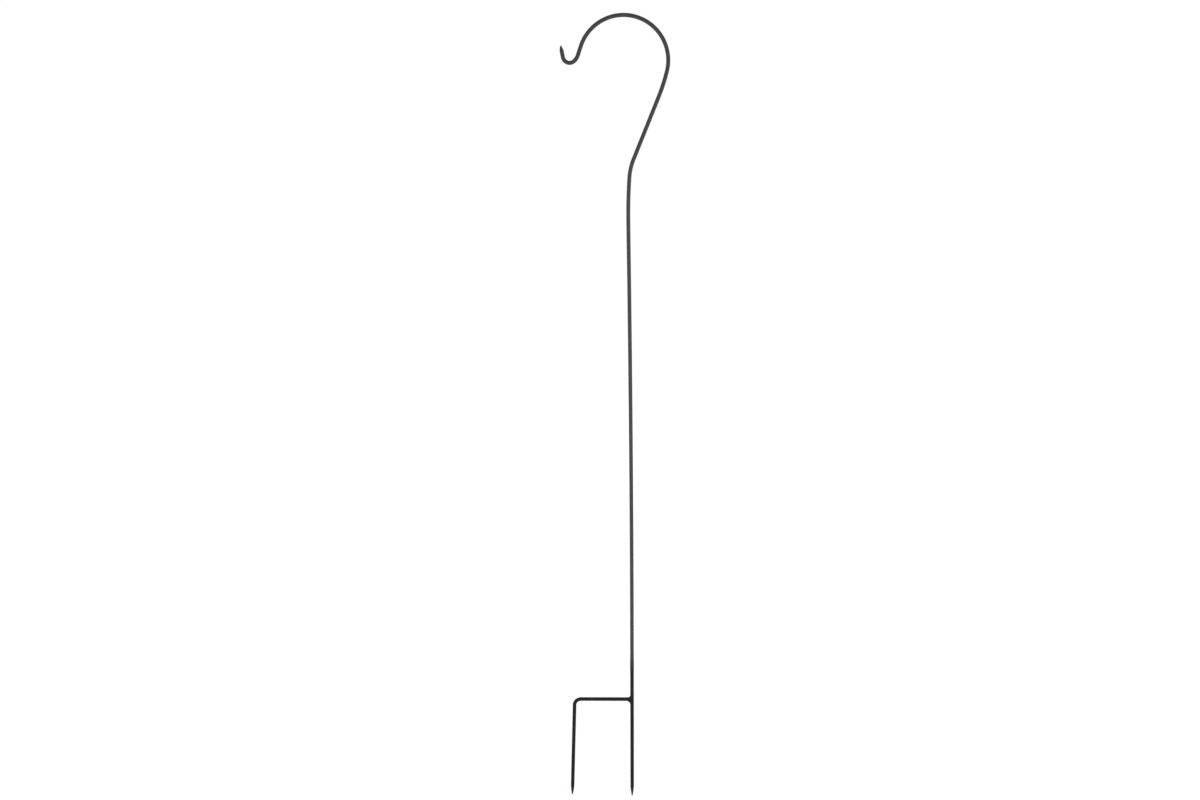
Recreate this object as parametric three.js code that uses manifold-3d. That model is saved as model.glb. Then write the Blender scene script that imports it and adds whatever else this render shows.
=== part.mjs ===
// Hanging plant stand: a slim shepherd's crook of round steel rod on a two-pronged ground fork.
//
// Sizes are in millimetres and angles in degrees. +Z is up, and the whole stand lies in the XZ
// plane with its hook on the -X side. The origin is on the fork's upright at soil level, where the
// underside of the cross bar stops once the fork has been trodden in.

import * as THREE from "three";
import { mergeVertices } from "three/addons/utils/BufferGeometryUtils.js";
import Module from "manifold-3d";

const wasm = await Module();
wasm.setup();

// ---- Driving sizes ----

// One round bar makes the crook, the pole and both prongs.
const ROD_DIAMETER = 8;
const TOUCHING_GAP = 0.3; // left wherever two pieces bear on each other

// Screwed joint between the pole and the fork
const SEAM_HEIGHT = 75; // above the soil
const SOCKET_SWELL = 0.5; // the pole's end is this much thicker around its tapped hole
const SOCKET_LENGTH = 19;
const SOCKET_FLARE = 18; // where the thick end runs out into the plain rod
const STUD_DIAMETER = 5;
const STUD_LENGTH = 30;
const STUD_CHAMFER = 0.6;
const HOLE_SPARE_DEPTH = 1.5; // of each tapped hole, past the end of the stud

// Pole, then the neck that leans out to the crook
const POLE_LENGTH = 975;
const POLE_BOW = 0.7; // the long rod drifts this far off straight by its top
const SHOULDER_RADIUS = 1200;
const SHOULDER_TURN = 4.2;
const NECK_RADIUS = 122;
const NECK_TURN = 18.3;
const NECK_LENGTH = 131;

// Crook, with a softer bend leading into the round one
const LEAD_RADIUS = 360;
const LEAD_TURN = 8;
const CROOK_RADIUS = 86;
const CROOK_TURN = 175;
const CROOK_TAIL = 18;

// Small hook at the crook's end
const RETURN_RADIUS = 24;
const RETURN_TURN = 32.5;
const HOOK_RADIUS = 13;
const HOOK_TURN = 118.5;
const HOOK_TIP_LENGTH = 22;
const HOOK_POINT = { length: 10, tip: 3, fullness: 1 };

// Ground fork: an upright spike, and a prong bent from the bar that is welded to its side
const SPIKE_DEPTH = 247;
const PRONG_SPACING = 128;
const CORNER_RADIUS = 15;
const PRONG_SPLAY = 2; // how far the prong stands out from parallel
const PRONG_LENGTH = 234;
const SPIKE_POINT = { length: 26, tip: 2, fullness: 1.5 };

// Fillet welds in the two corners where the bar meets the upright
const UPPER_WELD = { alongBar: 6.3, alongUpright: 8.5 };
const LOWER_WELD = { alongBar: 10.5, alongUpright: 12.4 };
const WELD_WIDTH = 6.4;
const WELD_TOE = 0.5; // thickness left at the thin edges of a weld
const WELD_EDGE_ROUNDING = 0.9;

// Facets: every rod has flats facing squarely up, down, forwards and back.
const ROD_SIDES = 16;
const CHORD_ERROR = 0.06; // the most that a bend's short straight facets cut inside its true arc
const POINT_STEPS = 6;
const WELD_ARC_STEPS = 6;

// ---- Finishes ----

const poleCoat = new THREE.MeshStandardMaterial({ color: 0x47484a, roughness: 0.5, metalness: 0 });
const forkCoat = new THREE.MeshStandardMaterial({ color: 0x333436, roughness: 0.5, metalness: 0 });
const zincPlate = new THREE.MeshStandardMaterial({ color: 0xaeb0b0, roughness: 0.35, metalness: 1 });

// ---- Rod shapes ----

// The centreline of a rod as a bender makes it: straight runs and bends, one after another, in the
// XZ plane. A heading of 0 runs along +X and 90 straight up, and a positive turn bends to the left.
// The rod's section is set out at each station, so the curve is measured in stations, not length.
class RodPath extends THREE.Curve {
  constructor(x, z, heading) {
    super();
    this.stations = [{ x, z, heading }];
  }

  get end() {
    return this.stations.at(-1);
  }

  straight(length) {
    const { x, z, heading } = this.end;
    const angle = THREE.MathUtils.degToRad(heading);
    const place = { x: x + length * Math.cos(angle), z: z + length * Math.sin(angle) };
    this.stations.push({ ...place, heading });
    return this;
  }

  // Stations fall at the headings that are whole steps, so the outermost point of a bend is one of
  // them. With centredFlats they fall halfway between, so a flat lies level there instead.
  bend(radius, turn, centredFlats = false) {
    const { heading } = this.end;
    const step = facetTurn(radius);
    const offset = centredFlats ? step / 2 : 0;
    const last = heading + turn;
    const low = Math.min(heading, last) + step / 10;
    const high = Math.max(heading, last) - step / 10;
    const stops = [];
    for (let stop = Math.ceil((low - offset) / step) * step + offset; stop < high; stop += step) {
      stops.push(stop);
    }
    const side = Math.sign(turn);
    if (side < 0) stops.reverse();
    const centre = leftOf(this.end, side * radius);
    for (const stop of [...stops, last]) {
      const place = leftOf({ ...centre, heading: stop }, -side * radius);
      this.stations.push({ ...place, heading: stop });
    }
    return this;
  }

  stationAt(share) {
    return this.stations[Math.round(share * (this.stations.length - 1))];
  }

  getPointAt(share, target = new THREE.Vector3()) {
    const { x, z } = this.stationAt(share);
    return target.set(x, 0, z);
  }

  getTangentAt(share, target = new THREE.Vector3()) {
    const angle = THREE.MathUtils.degToRad(this.stationAt(share).heading);
    return target.set(Math.cos(angle), 0, Math.sin(angle));
  }
}

// The turn from one station of a bend to the next: a whole share of a right angle
function facetTurn(radius) {
  const widest = 2 * THREE.MathUtils.radToDeg(Math.acos(1 - CHORD_ERROR / radius));
  return 90 / Math.ceil(90 / widest);
}

// The place this far to the left of a heading, seen from the front
function leftOf({ x, z, heading }, distance) {
  const angle = THREE.MathUtils.degToRad(heading);
  return { x: x - distance * Math.sin(angle), z: z + distance * Math.cos(angle) };
}

// How far out the corners lie, on a round shape whose flats are at this diameter
function cornerRadius(diameter) {
  return diameter / 2 / Math.cos(Math.PI / ROD_SIDES);
}

// A solid rod along a path, thickened all round by grow
function rodGeometry(path, grow = 0) {
  const radius = cornerRadius(ROD_DIAMETER + 2 * grow);
  const corners = [];
  for (let corner = 0; corner < ROD_SIDES; corner += 1) {
    const angle = ((corner + 0.5) * 2 * Math.PI) / ROD_SIDES;
    corners.push(new THREE.Vector2(radius * Math.cos(angle), radius * Math.sin(angle)));
  }
  return new THREE.ExtrudeGeometry(new THREE.Shape(corners), {
    extrudePath: path,
    steps: path.stations.length - 1,
  });
}

// A turned shape in line with a rod, from a place on its centreline outwards along the heading.
// The outline lists [distance along, diameter] pairs.
function turnedGeometry(outline, { x, z, heading }) {
  const profile = outline.map(([along, diameter]) => {
    return new THREE.Vector2(cornerRadius(diameter), along);
  });
  const turned = new THREE.LatheGeometry(profile, ROD_SIDES);
  turned.rotateY(Math.PI / ROD_SIDES);
  turned.rotateX(Math.PI / 2);
  turned.rotateY(THREE.MathUtils.degToRad(90 - heading));
  turned.translate(x, 0, z);
  return turned;
}

// What is taken off a rod's end to leave a point: a ring, hollow inside to the point's shape.
// Fullness 1 leaves a plain cone, and more leaves sides that swell outwards.
function pointWaste(path, { length, tip, fullness }) {
  const step = length / POINT_STEPS;
  const taper = [];
  for (let along = -1; along <= POINT_STEPS; along += 1) {
    const done = Math.abs(along / POINT_STEPS) ** fullness * Math.sign(along);
    taper.push([along * step, tip + (ROD_DIAMETER - tip) * (1 - done)]);
  }
  const overrun = [length + step, tip];
  const outside = 2 * ROD_DIAMETER;
  const outline = [overrun, ...taper.reverse(), [-step, outside], [length + step, outside], overrun];
  const { heading } = path.end;
  const start = leftOf({ ...path.end, heading: heading + 90 }, length);
  return turnedGeometry(outline, { ...start, heading });
}

// ---- Joining and cutting solids ----

function solid(geometry) {
  const bare = geometry.clone();
  bare.deleteAttribute("normal");
  bare.deleteAttribute("uv");
  const merged = mergeVertices(bare);
  return new wasm.Manifold(
    new wasm.Mesh({
      numProp: 3,
      vertProperties: new Float32Array(merged.attributes.position.array),
      triVerts: new Uint32Array(merged.index.array),
    }),
  );
}

function node(name, body, material) {
  const { vertProperties, triVerts } = body.getMesh();
  const geometry = new THREE.BufferGeometry();
  geometry.setAttribute("position", new THREE.BufferAttribute(vertProperties, 3));
  geometry.setIndex(new THREE.BufferAttribute(triVerts, 1));
  geometry.computeVertexNormals();
  const mesh = new THREE.Mesh(geometry, material);
  mesh.name = name;
  return mesh;
}

// ---- Screwed joint ----

// A tapped hole's space, centred on the seam, so it opens the pole's end and the fork's alike
function tappedHole() {
  const depth = STUD_LENGTH / 2 + HOLE_SPARE_DEPTH;
  const diameter = STUD_DIAMETER + 2 * TOUCHING_GAP;
  const outline = [[-depth, 0], [-depth, diameter], [depth, diameter], [depth, 0]];
  return solid(turnedGeometry(outline, { x: 0, z: SEAM_HEIGHT, heading: 90 }));
}

// Threaded stud, drawn at the thread's outer diameter with a chamfer at each end
function jointStud() {
  const half = STUD_LENGTH / 2;
  const face = STUD_DIAMETER - 2 * STUD_CHAMFER;
  const outline = [
    [-half, 0],
    [-half, face],
    [STUD_CHAMFER - half, STUD_DIAMETER],
    [half - STUD_CHAMFER, STUD_DIAMETER],
    [half, face],
    [half, 0],
  ];
  const stud = solid(turnedGeometry(outline, { x: 0, z: SEAM_HEIGHT, heading: 90 }));
  return node("joint_stud", stud, zincPlate);
}

// ---- Pole and crook, one bent rod ----

// The thick end's taper runs on a little inside the rod, which starts within the thick part.
function crookPole() {
  const poleEnd = SEAM_HEIGHT + TOUCHING_GAP / 2;
  const path = new RodPath(0, poleEnd + SOCKET_LENGTH, 90)
    .straight(SOCKET_FLARE)
    .bend(POLE_LENGTH / THREE.MathUtils.degToRad(POLE_BOW), POLE_BOW)
    .bend(SHOULDER_RADIUS, -SHOULDER_TURN)
    .bend(NECK_RADIUS, -NECK_TURN)
    .straight(NECK_LENGTH)
    .bend(LEAD_RADIUS, LEAD_TURN)
    .bend(CROOK_RADIUS, CROOK_TURN)
    .straight(CROOK_TAIL)
    .bend(RETURN_RADIUS, -RETURN_TURN)
    .bend(HOOK_RADIUS, -HOOK_TURN, true)
    .straight(HOOK_TIP_LENGTH);
  const thickEnd = ROD_DIAMETER + SOCKET_SWELL;
  const outline = [
    [0, 0],
    [0, thickEnd],
    [SOCKET_LENGTH, thickEnd],
    [SOCKET_LENGTH + 2 * SOCKET_FLARE, ROD_DIAMETER - SOCKET_SWELL],
    [SOCKET_LENGTH + 2 * SOCKET_FLARE, 0],
  ];
  const socket = solid(turnedGeometry(outline, { x: 0, z: poleEnd, heading: 90 }));
  const rod = solid(rodGeometry(path)).subtract(solid(pointWaste(path, HOOK_POINT)));
  return node("crook_pole", rod.add(socket).subtract(tappedHole()), poleCoat);
}

// ---- Ground fork ----

const uprightPath = new RodPath(0, SEAM_HEIGHT - TOUCHING_GAP / 2, -90)
  .straight(SEAM_HEIGHT - TOUCHING_GAP / 2 + SPIKE_DEPTH);

const barHeight = ROD_DIAMETER / 2;
const weldedStretch = ROD_DIAMETER / 2 + LOWER_WELD.alongBar; // past it, the underside is clear
const prongPath = new RodPath(0, barHeight, 180)
  .straight(weldedStretch)
  .straight(PRONG_SPACING - CORNER_RADIUS - weldedStretch)
  .bend(CORNER_RADIUS, 90 - PRONG_SPLAY)
  .straight(PRONG_LENGTH);

function forkUpright() {
  const rod = solid(rodGeometry(uprightPath)).subtract(solid(pointWaste(uprightPath, SPIKE_POINT)));
  return node("fork_upright", rod.subtract(tappedHole()), forkCoat);
}

// The bar's end is coped, which means hollowed to sit round the upright.
function forkProng() {
  const rod = solid(rodGeometry(prongPath)).subtract(solid(pointWaste(prongPath, SPIKE_POINT)));
  const cope = solid(rodGeometry(uprightPath, TOUCHING_GAP));
  return node("fork_prong", rod.subtract(cope), forkCoat);
}

// A fillet weld in one corner between bar and upright. vertical is 1 above the bar and -1 below.
// The blank is a block with a hollow face, and the two rods' own shapes are cut out of it.
function filletWeld(name, { alongBar, alongUpright }, vertical) {
  const radius = ROD_DIAMETER / 2;
  const toe = radius + TOUCHING_GAP + WELD_TOE;
  const barEnd = radius + alongBar;
  const top = radius + alongUpright;
  const outline = new THREE.Shape();
  outline.moveTo(0, 0);
  outline.lineTo(-barEnd, 0);
  outline.lineTo(-barEnd, toe);
  for (let step = 1; step <= WELD_ARC_STEPS; step += 1) {
    const angle = ((step / WELD_ARC_STEPS) * Math.PI) / 2;
    const x = -barEnd + (barEnd - toe) * Math.sin(angle);
    const z = top - (top - toe) * Math.cos(angle);
    outline.lineTo(x, z);
  }
  outline.lineTo(0, top);
  outline.closePath();
  const blank = new THREE.ExtrudeGeometry(outline, {
    depth: WELD_WIDTH - 2 * WELD_EDGE_ROUNDING,
    bevelThickness: WELD_EDGE_ROUNDING,
    bevelSize: WELD_EDGE_ROUNDING,
    bevelOffset: -WELD_EDGE_ROUNDING,
    bevelSegments: 2,
  });
  blank.translate(0, 0, WELD_EDGE_ROUNDING - WELD_WIDTH / 2);
  blank.rotateX((vertical * Math.PI) / 2);
  blank.translate(0, 0, barHeight);
  const barSpace = new RodPath(0, barHeight, 180).straight(PRONG_SPACING - CORNER_RADIUS);
  const upright = solid(rodGeometry(uprightPath, TOUCHING_GAP));
  const bar = solid(rodGeometry(barSpace, TOUCHING_GAP));
  return node(name, solid(blank).subtract(upright).subtract(bar), forkCoat);
}

// ---- Assembly ----

const stand = new THREE.Group();
stand.add(crookPole());
stand.add(jointStud());

const fork = new THREE.Group();
fork.add(forkUpright());
fork.add(forkProng());
fork.add(filletWeld("weld_above_bar", UPPER_WELD, 1));
fork.add(filletWeld("weld_below_bar", LOWER_WELD, -1));
stand.add(fork);

export default stand;
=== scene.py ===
# Hanging plant stand: a slim shepherd's crook of round steel bar on a two-pronged ground fork.
# +Z is up, the stand lies in the XZ plane with its hook on the -X side, and the origin is on the
# fork's upright at soil level. Sizes are written in millimetres and turned into metres with MM.

import bpy
import bmesh
from math import ceil, cos, pi, radians, sin
from mathutils import Matrix, Vector


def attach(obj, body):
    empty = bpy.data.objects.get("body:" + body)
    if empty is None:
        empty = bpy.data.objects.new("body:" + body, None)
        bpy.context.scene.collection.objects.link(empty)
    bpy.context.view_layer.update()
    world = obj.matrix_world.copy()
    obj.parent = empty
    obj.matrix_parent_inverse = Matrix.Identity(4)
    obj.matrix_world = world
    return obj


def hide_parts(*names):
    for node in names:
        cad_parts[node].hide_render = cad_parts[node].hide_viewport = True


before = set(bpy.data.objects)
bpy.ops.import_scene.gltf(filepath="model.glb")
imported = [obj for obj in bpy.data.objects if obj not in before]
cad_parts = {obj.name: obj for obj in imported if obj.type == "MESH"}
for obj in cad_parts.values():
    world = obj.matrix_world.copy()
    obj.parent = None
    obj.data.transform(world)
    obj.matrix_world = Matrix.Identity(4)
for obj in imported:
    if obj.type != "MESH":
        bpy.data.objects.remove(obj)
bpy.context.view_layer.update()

MM = 0.001


# ---- Pole and crook ----
# One 8 mm round steel bar, 1.66 m long, bent cold round formers into a long pole, a leaning neck,
# the crook and the small hook. Its foot is a little thicker, drilled and tapped for the stud, and
# the hook's end is drawn down to a blunt point. It is powder coated in satin dark grey.

BAR_DIAMETER = 8
BAR_SIDES = 48


class RoundBar:
    """A bar made from one end to the other: its end face stays selected and is worked onwards.

    A heading of 0 runs along +X and 90 straight up, and a positive turn bends to the left.
    """

    def __init__(self, name, x, z, heading, diameter):
        self.x, self.z, self.heading, self.diameter = x, z, heading, diameter
        bpy.ops.object.select_all(action="DESELECT")
        bpy.ops.mesh.primitive_circle_add(
            vertices=BAR_SIDES,
            radius=diameter / 2 * MM,
            fill_type="NGON",
            location=(x * MM, 0, z * MM),
            rotation=(0, radians(90 - heading), 0),
        )
        self.object = bpy.context.object
        self.object.name = name
        self.object.data.name = name
        bpy.ops.object.transform_apply(location=True, rotation=True, scale=True)
        bpy.ops.object.mode_set(mode="EDIT")

    def squeeze(self, across, front_to_back):
        centre = (self.x * MM, 0, self.z * MM)
        bpy.ops.transform.resize(value=(across, front_to_back, across), center_override=centre)

    def draw(self, length, diameter=None):
        """Draws the end out along its heading, and up or down to a new diameter."""
        along = radians(self.heading)
        step_x = length * cos(along)
        step_z = length * sin(along)
        bpy.ops.mesh.extrude_region_move(
            TRANSFORM_OT_translate={"value": (step_x * MM, 0, step_z * MM)}
        )
        self.x += step_x
        self.z += step_z
        if diameter:
            self.squeeze(diameter / self.diameter, diameter / self.diameter)
            self.diameter = diameter

    def bend(self, radius, turn, facet):
        """Bends the end round a former, setting out a ring at least every facet degrees."""
        side = 1 if turn > 0 else -1
        towards_centre = radians(self.heading + 90 * side)
        centre_x = self.x + radius * cos(towards_centre)
        centre_z = self.z + radius * sin(towards_centre)
        bpy.ops.mesh.spin(
            steps=ceil(abs(turn) / facet),
            angle=radians(abs(turn)),
            center=(centre_x * MM, 0, centre_z * MM),
            axis=(0, side, 0),
        )
        self.heading += turn
        away = radians(self.heading - 90 * side)
        self.x = centre_x + radius * cos(away)
        self.z = centre_z + radius * sin(away)

    def forge_point(self, length, tip, fullness, blows):
        """Draws the end down to a blunt point with a rounded nose.

        Every third blow leaves slight flats front and back.
        """
        full = self.diameter
        nose = 0.2 * tip
        for blow in range(1, blows + 1):
            done = blow / blows
            self.draw((length - nose) / blows, tip + (full - tip) * (1 - done**fullness))
            if blow % 3 == 1:
                self.squeeze(1, 0.97)
        for angle in (30, 60, 90):
            step = sin(radians(angle)) - sin(radians(angle - 30))
            self.draw(nose * step, tip * (0.6 + 0.4 * cos(radians(angle))))

    def finish(self):
        bpy.ops.mesh.select_all(action="SELECT")
        bpy.ops.mesh.normals_make_consistent(inside=False)
        bpy.ops.object.mode_set(mode="OBJECT")
        bpy.ops.object.shade_smooth_by_angle(angle=radians(40))
        return self.object


def select_faces(piece, chosen):
    """Opens a piece in edit mode with only the chosen faces selected."""
    bpy.ops.object.select_all(action="DESELECT")
    piece.select_set(True)
    bpy.context.view_layer.objects.active = piece
    bpy.ops.object.mode_set(mode="EDIT")
    bpy.ops.mesh.select_mode(type="FACE")
    bpy.ops.mesh.select_all(action="DESELECT")
    mesh = bmesh.from_edit_mesh(piece.data)
    for face in mesh.faces:
        face.select_set(chosen(face))
    bmesh.update_edit_mesh(piece.data)


HOLE_DIAMETER = 5.6
HOLE_COUNTERSINK = 0.35


def drill(piece, end_height, face_diameter, depth, up):
    """Drills a bar's flat end for the stud: a countersunk mouth, then a plain blind hole."""
    select_faces(piece, lambda face: abs(face.calc_center_median().z - end_height * MM) < 1e-6)
    mouth = HOLE_DIAMETER + 2 * HOLE_COUNTERSINK
    bpy.ops.mesh.inset(thickness=(face_diameter - mouth) / 2 * MM)
    for step, width in ((HOLE_COUNTERSINK, HOLE_DIAMETER / mouth), (depth - HOLE_COUNTERSINK, 1)):
        bpy.ops.mesh.extrude_region_move(TRANSFORM_OT_translate={"value": (0, 0, up * step * MM)})
        end_height += up * step
        bpy.ops.transform.resize(value=(width, width, 1), center_override=(0, 0, end_height * MM))
    bpy.ops.object.mode_set(mode="OBJECT")


END_CHAMFER = 0.25
HOLE_DEPTH = 16.48
POLE_FOOT_HEIGHT = 75.02
FOOT_DIAMETER = 8.5
FOOT_LENGTH = 19.13
FOOT_FLARE_LENGTH = 18
POLE_LENGTH = 975
POLE_DRIFT = 0.7
NECK_LENGTH = 131
CROOK_RADIUS = 86
CROOK_TURN = 175
CROOK_END_LENGTH = 18
HOOK_RADIUS = 13
HOOK_TURN = -118.5
HOOK_TIP_LENGTH = 12

pole = RoundBar("crook_and_pole", 0, POLE_FOOT_HEIGHT, 90, FOOT_DIAMETER - 2 * END_CHAMFER)
pole.draw(END_CHAMFER, FOOT_DIAMETER)
pole.draw(FOOT_LENGTH - END_CHAMFER)
pole.draw(FOOT_FLARE_LENGTH, BAR_DIAMETER)
pole.bend(POLE_LENGTH / radians(POLE_DRIFT), POLE_DRIFT, facet=0.1)
pole.bend(radius=1200, turn=-4.2, facet=0.6)
pole.bend(radius=122, turn=-18.3, facet=2)
pole.draw(NECK_LENGTH)
pole.bend(radius=360, turn=8, facet=1)
pole.bend(CROOK_RADIUS, CROOK_TURN, facet=2.5)
pole.draw(CROOK_END_LENGTH)
pole.bend(radius=24, turn=-32.5, facet=3)
pole.bend(HOOK_RADIUS, HOOK_TURN, facet=4)
pole.draw(HOOK_TIP_LENGTH)
pole.forge_point(length=10, tip=3, fullness=1.3, blows=8)
crook_and_pole = pole.finish()
drill(crook_and_pole, POLE_FOOT_HEIGHT, FOOT_DIAMETER - 2 * END_CHAMFER, HOLE_DEPTH, up=1)


def new_socket(group, name, way, kind, value=None):
    socket = group.interface.new_socket(name=name, in_out=way, socket_type=kind)
    if value is not None:
        socket.default_value = value


def powder_coat_skin():
    """Sprayed and baked powder: a fine orange peel, a film that varies a little, dull patches."""
    group = bpy.data.node_groups.new("powder_coat_skin", "ShaderNodeTree")
    new_socket(group, "Coat Colour", "INPUT", "NodeSocketColor", (0.05, 0.05, 0.05, 1))
    new_socket(group, "Film Variation", "INPUT", "NodeSocketFloat", 0.1)
    new_socket(group, "Dullness", "INPUT", "NodeSocketFloat", 0.5)
    new_socket(group, "Colour", "OUTPUT", "NodeSocketColor")
    new_socket(group, "Roughness", "OUTPUT", "NodeSocketFloat")
    new_socket(group, "Peel", "OUTPUT", "NodeSocketFloat")
    nodes, links = group.nodes, group.links
    given = nodes.new("NodeGroupInput")
    result = nodes.new("NodeGroupOutput")
    place = nodes.new("ShaderNodeTexCoord")

    def cloudiness(scale, detail):
        noise = nodes.new("ShaderNodeTexNoise")
        noise.inputs["Scale"].default_value = scale
        noise.inputs["Detail"].default_value = detail
        noise.inputs["Roughness"].default_value = 0.55
        links.new(place.outputs["Object"], noise.inputs["Vector"])
        return noise.outputs["Fac"]

    def spread(mask, low, high):
        ramp = nodes.new("ShaderNodeMapRange")
        ramp.inputs["From Min"].default_value = 0.3
        ramp.inputs["From Max"].default_value = 0.7
        ramp.inputs["To Min"].default_value = low
        ramp.inputs["To Max"].default_value = high
        links.new(mask, ramp.inputs["Value"])
        return ramp.outputs["Result"]

    def combine(operation, first, second):
        node = nodes.new("ShaderNodeMath")
        node.operation = operation
        for socket, value in zip(node.inputs, (first, second)):
            if isinstance(value, (int, float)):
                socket.default_value = value
            else:
                links.new(value, socket)
        return node.outputs["Value"]

    # Noise scales count per metre: 14 is a hand's breadth, 90 a fingertip and 500 two millimetres.
    film = combine("ADD", spread(cloudiness(14, 3), -0.8, 0.8), spread(cloudiness(500, 2), -1, 1))
    film = combine("MULTIPLY", film, given.outputs["Film Variation"])
    tint = nodes.new("ShaderNodeVectorMath")
    tint.operation = "SCALE"
    links.new(given.outputs["Coat Colour"], tint.inputs[0])
    links.new(combine("ADD", film, 1.0), tint.inputs["Scale"])
    links.new(tint.outputs["Vector"], result.inputs["Colour"])
    dull = combine("ADD", given.outputs["Dullness"], spread(cloudiness(90, 4), -0.06, 0.06))
    links.new(dull, result.inputs["Roughness"])
    peel = combine("ADD", cloudiness(900, 1), combine("MULTIPLY", cloudiness(2600, 2), 0.35))
    links.new(peel, result.inputs["Peel"])
    return group


coat_skin = powder_coat_skin()


def powder_coat(name, colour, variation, dullness, gloss):
    """A coat of one colour over bare steel, which doesn't show through anywhere."""
    coat = bpy.data.materials.new(name)
    coat.use_nodes = True
    nodes, links = coat.node_tree.nodes, coat.node_tree.links
    shader = nodes["Principled BSDF"]
    shader.inputs["Specular IOR Level"].default_value = gloss
    skin = nodes.new("ShaderNodeGroup")
    skin.node_tree = coat_skin
    skin.inputs["Coat Colour"].default_value = (*colour, 1)
    skin.inputs["Film Variation"].default_value = variation
    skin.inputs["Dullness"].default_value = dullness
    links.new(skin.outputs["Colour"], shader.inputs["Base Color"])
    links.new(skin.outputs["Roughness"], shader.inputs["Roughness"])
    peel = nodes.new("ShaderNodeBump")
    peel.inputs["Strength"].default_value = 0.5
    peel.inputs["Distance"].default_value = 0.35 * MM
    links.new(skin.outputs["Peel"], peel.inputs["Height"])
    links.new(peel.outputs["Normal"], shader.inputs["Normal"])
    return coat


POLE_COLOUR = (0.06, 0.06, 0.061)
POLE_GLOSS = 0.16
FOOT_COLOUR = (0.027, 0.027, 0.028)
FOOT_SHADE_TOP = 120
FORK_GLOSS = 0.08

pole_coat = powder_coat("pole_coat", POLE_COLOUR, variation=0.15, dullness=0.5, gloss=POLE_GLOSS)

# At the joint the foot is nearly as dark as the fork, and it grows lighter upwards from there.
nodes, links = pole_coat.node_tree.nodes, pole_coat.node_tree.links
place = nodes.new("ShaderNodeTexCoord")
height = nodes.new("ShaderNodeSeparateXYZ")
links.new(place.outputs["Object"], height.inputs["Vector"])
lightening = nodes.new("ShaderNodeMapRange")
lightening.inputs["From Min"].default_value = POLE_FOOT_HEIGHT * MM
lightening.inputs["From Max"].default_value = FOOT_SHADE_TOP * MM
links.new(height.outputs["Z"], lightening.inputs["Value"])
shade = nodes.new("ShaderNodeMix")
shade.data_type = "RGBA"
shade.inputs["A"].default_value = (*FOOT_COLOUR, 1)
shade.inputs["B"].default_value = (*POLE_COLOUR, 1)
links.new(lightening.outputs["Result"], shade.inputs["Factor"])
skin = next(node for node in nodes if node.type == "GROUP")
links.new(shade.outputs["Result"], skin.inputs["Coat Colour"])
gloss = nodes.new("ShaderNodeMapRange")
gloss.inputs["To Min"].default_value = FORK_GLOSS
gloss.inputs["To Max"].default_value = POLE_GLOSS
links.new(lightening.outputs["Result"], gloss.inputs["Value"])
links.new(gloss.outputs["Result"], nodes["Principled BSDF"].inputs["Specular IOR Level"])
crook_and_pole.data.materials.append(pole_coat)
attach(crook_and_pole, "root")
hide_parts("crook_pole")


# ---- Fork upright ----
# A straight length of the same bar, from the screwed joint down to the long spike. Its top is
# drilled and tapped like the pole's foot, and its lower end is forged to a blunt ground point.
# The fork's coat colour is set a shade darker than the pole's.

SOIL_SPIKE_DEPTH = 247
FORK_TOP_HEIGHT = 74.98
GROUND_POINT_LENGTH = 26
GROUND_POINT_TIP = 2
GROUND_POINT_FULLNESS = 1.4
GROUND_POINT_BLOWS = 16

upright = RoundBar("fork_upright_bar", 0, FORK_TOP_HEIGHT, -90, BAR_DIAMETER - 2 * END_CHAMFER)
upright.draw(END_CHAMFER, BAR_DIAMETER)
upright.draw(FORK_TOP_HEIGHT - END_CHAMFER + SOIL_SPIKE_DEPTH - GROUND_POINT_LENGTH)
upright.forge_point(
    GROUND_POINT_LENGTH, GROUND_POINT_TIP, GROUND_POINT_FULLNESS, GROUND_POINT_BLOWS
)
fork_upright_bar = upright.finish()
drill(fork_upright_bar, FORK_TOP_HEIGHT, BAR_DIAMETER - 2 * END_CHAMFER, HOLE_DEPTH, up=-1)

FORK_COLOUR = (0.017, 0.017, 0.0178)

fork_coat = powder_coat("fork_coat", FORK_COLOUR, variation=0.17, dullness=0.55, gloss=FORK_GLOSS)
fork_upright_bar.data.materials.append(fork_coat)
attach(fork_upright_bar, "root")
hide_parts("fork_upright")


# ---- Fork prong ----
# The same bar again: a cross bar at soil level, coped to sit round the upright, a tight corner and
# a second spike, which splays out a little. Its underside stops the fork when it is trodden in.

BAR_HEIGHT = 4
COPE_FIT = 0.05
CROSS_BAR_LENGTH = 113
CORNER_RADIUS = 15
CORNER_TURN = 88
PRONG_LENGTH = 208

prong = RoundBar("fork_prong_bar", 0, BAR_HEIGHT, 180, BAR_DIAMETER)
prong.draw(CROSS_BAR_LENGTH)
prong.bend(CORNER_RADIUS, CORNER_TURN, facet=4)
prong.draw(PRONG_LENGTH)
prong.forge_point(
    GROUND_POINT_LENGTH, GROUND_POINT_TIP, GROUND_POINT_FULLNESS, GROUND_POINT_BLOWS
)
fork_prong_bar = prong.finish()

bpy.ops.object.select_all(action="DESELECT")
bpy.ops.mesh.primitive_cylinder_add(
    vertices=BAR_SIDES,
    radius=(BAR_DIAMETER / 2 + COPE_FIT) * MM,
    depth=3 * BAR_DIAMETER * MM,
    location=(0, 0, BAR_HEIGHT * MM),
)
hole_saw = bpy.context.object
bpy.ops.object.transform_apply(location=True, rotation=True, scale=True)


def fuse(piece, second, operation):
    """Joins a second shape to a piece, cuts it away or keeps what they share, and removes it."""
    bpy.ops.object.select_all(action="DESELECT")
    piece.select_set(True)
    bpy.context.view_layer.objects.active = piece
    joint = piece.modifiers.new("joint", "BOOLEAN")
    joint.operation = operation
    joint.solver = "EXACT"
    joint.object = second
    bpy.ops.object.modifier_apply(modifier=joint.name)
    bpy.data.objects.remove(second)
    bpy.ops.object.shade_smooth_by_angle(angle=radians(40))


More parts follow.
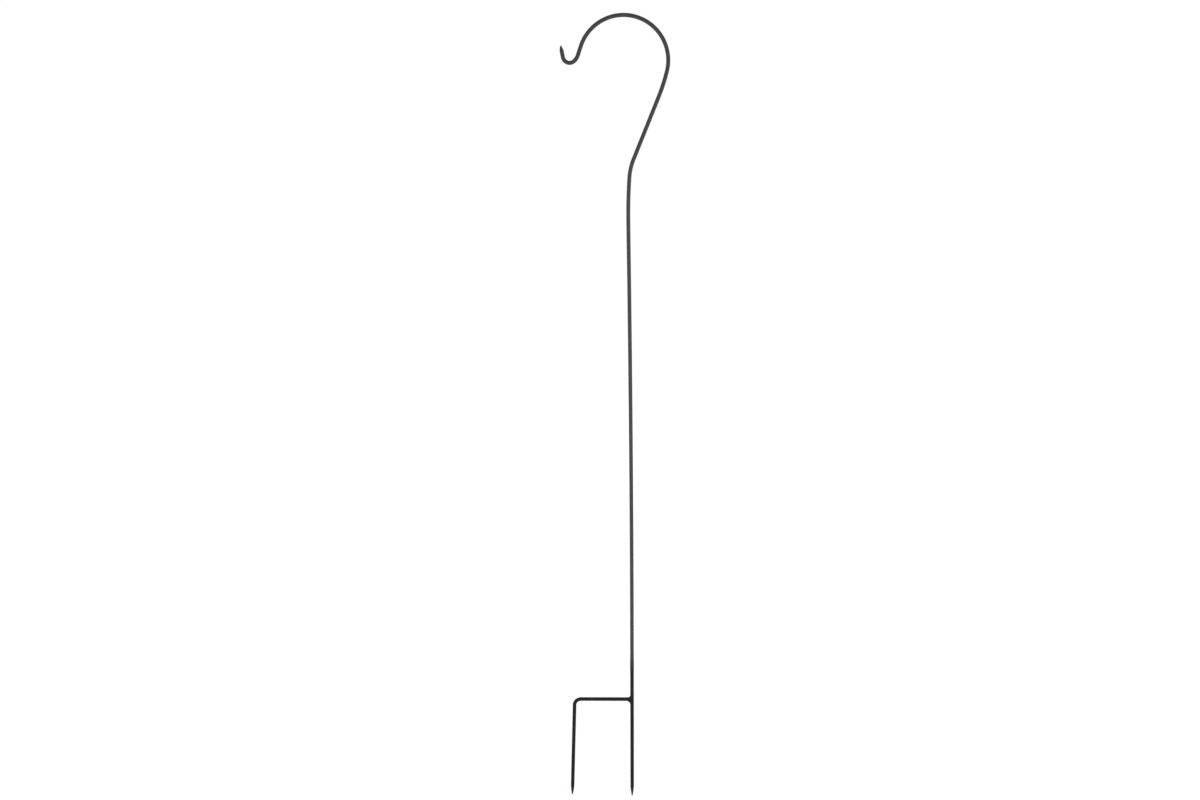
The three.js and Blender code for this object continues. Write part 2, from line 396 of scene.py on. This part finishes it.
fuse(fork_prong_bar, hole_saw, "DIFFERENCE")
fork_prong_bar.data.materials.append(fork_coat)
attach(fork_prong_bar, "root")
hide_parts("fork_prong")


# ---- Welds ----
# Two short arc-welded fillets hold the bar to the upright: a small one in the corner above it and
# a bigger one below. They are laid before coating, so the powder covers their ripples.

WELD_DIAMETER = 7.4
WELD_END_DIAMETER = 0.94 * WELD_DIAMETER
WELD_FADE = 2


def lay_weld(name, along_bar, along_upright, up, ripples):
    """Lays a run of weld as thick as the bars, from one's middle round the corner to the other's.

    It is laid as a round corner as tall as the weld, then drawn in to the weld's own reach.
    """
    toe = -BAR_DIAMETER / 2 - along_bar
    deep = BAR_DIAMETER / 2
    bead = RoundBar(name, toe - WELD_FADE, BAR_HEIGHT, 0, WELD_END_DIAMETER)
    bead.draw(WELD_FADE, WELD_DIAMETER)
    steps = 4 * ripples
    for step in range(1, steps + 1):
        bead.bend(along_upright + deep, up * 90 / steps, 90)
        ripple = (1 - cos(step * pi / 2)) / 2 * (0.9 + 0.3 * sin(step // 4 * 2.4))
        size = WELD_DIAMETER * (1 + sin(step / steps * pi) * (0.01 + 0.012 * ripple))
        bead.squeeze(size / bead.diameter, size / bead.diameter)
        bead.diameter = size
    bead.draw(WELD_FADE, WELD_END_DIAMETER)
    bpy.ops.mesh.select_all(action="SELECT")
    reach = (along_bar + deep) / (along_upright + deep)
    bpy.ops.transform.resize(value=(reach, 1, 1), center_override=(toe * MM, 0, 0))
    return bead.finish()


WELD_COLOUR = (0.018, 0.018, 0.0188)

weld_coat = powder_coat("weld_coat", WELD_COLOUR, variation=0.2, dullness=0.55, gloss=FORK_GLOSS)
upper_weld_bead = lay_weld("weld_bead_above_bar", 6.3, 8.5, up=1, ripples=11)
fuse(upper_weld_bead, lay_weld("root_run", 3, 4, up=1, ripples=6), "UNION")
lower_weld_bead = lay_weld("weld_bead_below_bar", 10.5, 12.4, up=-1, ripples=16)
fuse(lower_weld_bead, lay_weld("root_run", 6, 7, up=-1, ripples=9), "UNION")
for bead, node in ((upper_weld_bead, "weld_above_bar"), (lower_weld_bead, "weld_below_bar")):
    bead.data.materials.append(weld_coat)
    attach(bead, "root")
    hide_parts(node)


# ---- Joint stud ----
# An M5 threaded stud of zinc-plated steel, 30 mm long, screwed half into the fork and half into
# the pole. It is out of sight once the two are screwed up tight.

STUD_LENGTH = 30
STUD_MIDDLE = 75
THREAD_PITCH = 0.8
THREAD_ROOT_RADIUS = 2.01
SPARE_TURNS = 2

stud_foot = STUD_MIDDLE - STUD_LENGTH / 2
crest_height = (stud_foot - SPARE_TURNS * THREAD_PITCH) * MM
bpy.ops.object.select_all(action="DESELECT")
bpy.ops.mesh.primitive_plane_add(
    size=THREAD_PITCH * MM,
    location=((THREAD_ROOT_RADIUS - THREAD_PITCH / 2) * MM, 0, crest_height),
    rotation=(radians(90), 0, 0),
)
threaded_stud = bpy.context.object
threaded_stud.name = "threaded_stud"
threaded_stud.data.name = "threaded_stud"
bpy.ops.object.transform_apply(location=True, rotation=True, scale=True)


def select_points(piece, chosen):
    """Opens a piece in edit mode with only the chosen points selected."""
    bpy.ops.object.select_all(action="DESELECT")
    piece.select_set(True)
    bpy.context.view_layer.objects.active = piece
    bpy.ops.object.mode_set(mode="EDIT")
    bpy.ops.mesh.select_mode(type="VERT")
    bpy.ops.mesh.select_all(action="DESELECT")
    mesh = bmesh.from_edit_mesh(piece.data)
    for point in mesh.verts:
        point.select_set(chosen(point.co))
    mesh.select_flush_mode()
    bmesh.update_edit_mesh(piece.data)


# The upright edge at the thread's root is kept, and its middle is pulled out into the crest.
select_points(threaded_stud, lambda place: place.x < (THREAD_ROOT_RADIUS - 0.1) * MM)
bpy.ops.mesh.delete(type="VERT")
bpy.ops.mesh.select_all(action="SELECT")
bpy.ops.mesh.subdivide(number_cuts=7)
bpy.ops.object.mode_set(mode="OBJECT")
for offset, rise in ((0, 0.48), (0.1, 0.32), (0.2, 0.16)):
    select_points(
        threaded_stud,
        lambda place: abs(abs(place.z - crest_height) - offset * MM) < 0.02 * MM,
    )
    bpy.ops.transform.translate(value=(rise * MM, 0, 0))
    bpy.ops.object.mode_set(mode="OBJECT")
thread = threaded_stud.modifiers.new("thread", "SCREW")
thread.axis = "Z"
thread.screw_offset = THREAD_PITCH * MM
thread.iterations = ceil(STUD_LENGTH / THREAD_PITCH) + 2 * SPARE_TURNS
thread.steps = 24
thread.render_steps = 24
thread.use_merge_vertices = True
thread.merge_threshold = 0.001 * MM
bpy.ops.object.modifier_apply(modifier=thread.name)
bpy.ops.object.mode_set(mode="EDIT")
for end, way in ((stud_foot, -1), (stud_foot + STUD_LENGTH, 1)):
    bpy.ops.mesh.select_all(action="SELECT")
    bpy.ops.mesh.remove_doubles(threshold=0.002 * MM)
    bpy.ops.mesh.bisect(
        plane_co=(0, 0, end * MM),
        plane_no=(0, 0, way),
        use_fill=True,
        clear_outer=True,
        threshold=0.0001 * MM,
    )
bpy.ops.mesh.select_all(action="SELECT")
bpy.ops.mesh.normals_make_consistent(inside=False)
bpy.ops.object.mode_set(mode="OBJECT")

# Both ends are turned to a chamfer: a longer blank with bevelled ends is what they are cut to.
BLANK_RADIUS = 2.6
BLANK_SPARE = 0.4
BLANK_BEVEL = 1.1

bpy.ops.object.select_all(action="DESELECT")
bpy.ops.mesh.primitive_cylinder_add(
    vertices=BAR_SIDES,
    radius=BLANK_RADIUS * MM,
    depth=(STUD_LENGTH + 2 * BLANK_SPARE) * MM,
    location=(0, 0, STUD_MIDDLE * MM),
)
blank = bpy.context.object
bpy.ops.object.transform_apply(location=True, rotation=True, scale=True)
select_faces(blank, lambda face: abs(face.normal.z) > 0.5)
bpy.ops.mesh.bevel(offset=BLANK_BEVEL * MM, segments=1)
bpy.ops.object.mode_set(mode="OBJECT")
fuse(threaded_stud, blank, "INTERSECT")
bpy.ops.object.shade_smooth_by_angle(angle=radians(25))

zinc_plate = bpy.data.materials.new("zinc_plate")
zinc_plate.use_nodes = True
nodes, links = zinc_plate.node_tree.nodes, zinc_plate.node_tree.links
shader = nodes["Principled BSDF"]
shader.inputs["Metallic"].default_value = 1
place = nodes.new("ShaderNodeTexCoord")
plating = nodes.new("ShaderNodeTexNoise")
plating.inputs["Scale"].default_value = 500
plating.inputs["Detail"].default_value = 3
links.new(place.outputs["Object"], plating.inputs["Vector"])
tint = nodes.new("ShaderNodeMix")
tint.data_type = "RGBA"
tint.inputs["A"].default_value = (0.36, 0.37, 0.36, 1)
tint.inputs["B"].default_value = (0.5, 0.5, 0.49, 1)
links.new(plating.outputs["Fac"], tint.inputs["Factor"])
links.new(tint.outputs["Result"], shader.inputs["Base Color"])
dull = nodes.new("ShaderNodeMapRange")
dull.inputs["To Min"].default_value = 0.28
dull.inputs["To Max"].default_value = 0.45
links.new(plating.outputs["Fac"], dull.inputs["Value"])
links.new(dull.outputs["Result"], shader.inputs["Roughness"])
threaded_stud.data.materials.append(zinc_plate)
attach(threaded_stud, "root")
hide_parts("joint_stud")


# ---- Floor and background ----
# A wide pale floor at the spikes' tips. The camera sees it and the background as white, apart from
# a trace of the stand's shadow.

FLOOR_GAP = 0.2

bpy.ops.object.select_all(action="DESELECT")
bpy.ops.mesh.primitive_plane_add(size=60, location=(0, 0, -(SOIL_SPIKE_DEPTH + FLOOR_GAP) * MM))
floor = bpy.context.object
floor.name = "floor"


def seen_directly(nodes, links):
    """1 for the camera's own rays, and for those that a glossy or clear surface sends on."""
    path = nodes.new("ShaderNodeLightPath")
    seen = path.outputs["Is Camera Ray"]
    for other in ("Is Glossy Ray", "Is Transmission Ray"):
        either = nodes.new("ShaderNodeMath")
        either.operation = "MAXIMUM"
        links.new(seen, either.inputs[0])
        links.new(path.outputs[other], either.inputs[1])
        seen = either.outputs["Value"]
    return seen


paint = bpy.data.materials.new("white_floor")
paint.use_nodes = True
nodes, links = paint.node_tree.nodes, paint.node_tree.links
nodes.clear()
matt = nodes.new("ShaderNodeBsdfDiffuse")
matt.inputs["Color"].default_value = (0.7, 0.7, 0.7, 1)
shadow_catch = nodes.new("ShaderNodeBsdfDiffuse")
shadow_catch.inputs["Color"].default_value = (0.8, 0.8, 0.8, 1)
lift = nodes.new("ShaderNodeEmission")
place = nodes.new("ShaderNodeTexCoord")
distance = nodes.new("ShaderNodeVectorMath")
distance.operation = "LENGTH"
links.new(place.outputs["Object"], distance.inputs[0])
# The lamps light the floor by the stand, so it is lifted less there, which keeps some shadow.
further_off = nodes.new("ShaderNodeMapRange")
further_off.inputs["From Min"].default_value = 0.3
further_off.inputs["From Max"].default_value = 1.8
further_off.inputs["To Min"].default_value = 0.53
further_off.inputs["To Max"].default_value = 0.72
links.new(distance.outputs["Value"], further_off.inputs["Value"])
links.new(further_off.outputs["Result"], lift.inputs["Strength"])
lifted = nodes.new("ShaderNodeAddShader")
links.new(shadow_catch.outputs["BSDF"], lifted.inputs[0])
links.new(lift.outputs["Emission"], lifted.inputs[1])
choice = nodes.new("ShaderNodeMixShader")
links.new(seen_directly(nodes, links), choice.inputs["Fac"])
links.new(matt.outputs["BSDF"], choice.inputs[1])
links.new(lifted.outputs["Shader"], choice.inputs[2])
surface = nodes.new("ShaderNodeOutputMaterial")
links.new(choice.outputs["Shader"], surface.inputs["Surface"])
floor.data.materials.append(paint)

world = bpy.data.worlds.new("studio")
bpy.context.scene.world = world
world.use_nodes = True
nodes, links = world.node_tree.nodes, world.node_tree.links
nodes.clear()
white = nodes.new("ShaderNodeBackground")
white.inputs["Color"].default_value = (1, 1, 1, 1)
room = nodes.new("ShaderNodeBackground")
room.inputs["Color"].default_value = (1, 1, 1, 1)
room.inputs["Strength"].default_value = 0.38
choice = nodes.new("ShaderNodeMixShader")
links.new(seen_directly(nodes, links), choice.inputs["Fac"])
links.new(room.outputs["Background"], choice.inputs[1])
links.new(white.outputs["Background"], choice.inputs[2])
surface = nodes.new("ShaderNodeOutputWorld")
links.new(choice.outputs["Shader"], surface.inputs["Surface"])


# ---- Lamps ----
# Soft boxes on both sides and straight in front, one at the left edge and one high behind. They
# stand close, so their light is strongest at the middle of the pole.

STAND_MIDDLE = Vector((-0.03, 0, 0.6))


def soft_box(name, place, width, height, power):
    lamp = bpy.data.lights.new(name, "AREA")
    lamp.shape = "RECTANGLE"
    lamp.size = width
    lamp.size_y = height
    lamp.energy = power
    box = bpy.data.objects.new(name, lamp)
    box.location = place
    box.rotation_euler = (STAND_MIDDLE - Vector(place)).to_track_quat("-Z", "Y").to_euler()
    bpy.context.scene.collection.objects.link(box)


soft_box("right_soft_box", (1.05, -1.3, 0.9), width=0.5, height=0.6, power=7.5)
soft_box("left_soft_box", (-1.05, -1.3, 0.9), width=0.5, height=0.6, power=3.5)
soft_box("left_edge_box", (-2.1, 0.5, 0.6), width=0.6, height=0.9, power=2.6)
soft_box("front_soft_box", (0.3, -1.6, 0.52), width=0.7, height=0.5, power=7.5)
soft_box("back_soft_box", (0.3, 1.6, 2.4), width=1.2, height=1.0, power=4)


# ---- Camera ----
# Eye height above the ground, looking down at the middle of the stand from three metres away.

CAMERA_PLACE = (-1.6, -3040.1, 1818.1)
CAMERA_YAW = 1.201
CAMERA_PITCH = -20
CAMERA_ROLL = -0.511

camera = bpy.data.objects.new("camera", bpy.data.cameras.new("camera"))
camera.data.lens = 46.94
camera.data.sensor_width = 36
camera.matrix_world = (
    Matrix.Translation(Vector(CAMERA_PLACE) * MM)
    @ Matrix.Rotation(radians(CAMERA_YAW), 4, "Z")
    @ Matrix.Rotation(radians(90 + CAMERA_PITCH), 4, "X")
    @ Matrix.Rotation(radians(CAMERA_ROLL), 4, "Z")
)
bpy.context.scene.collection.objects.link(camera)
bpy.context.scene.camera = camera
bpy.context.scene.view_settings.view_transform = "Standard"
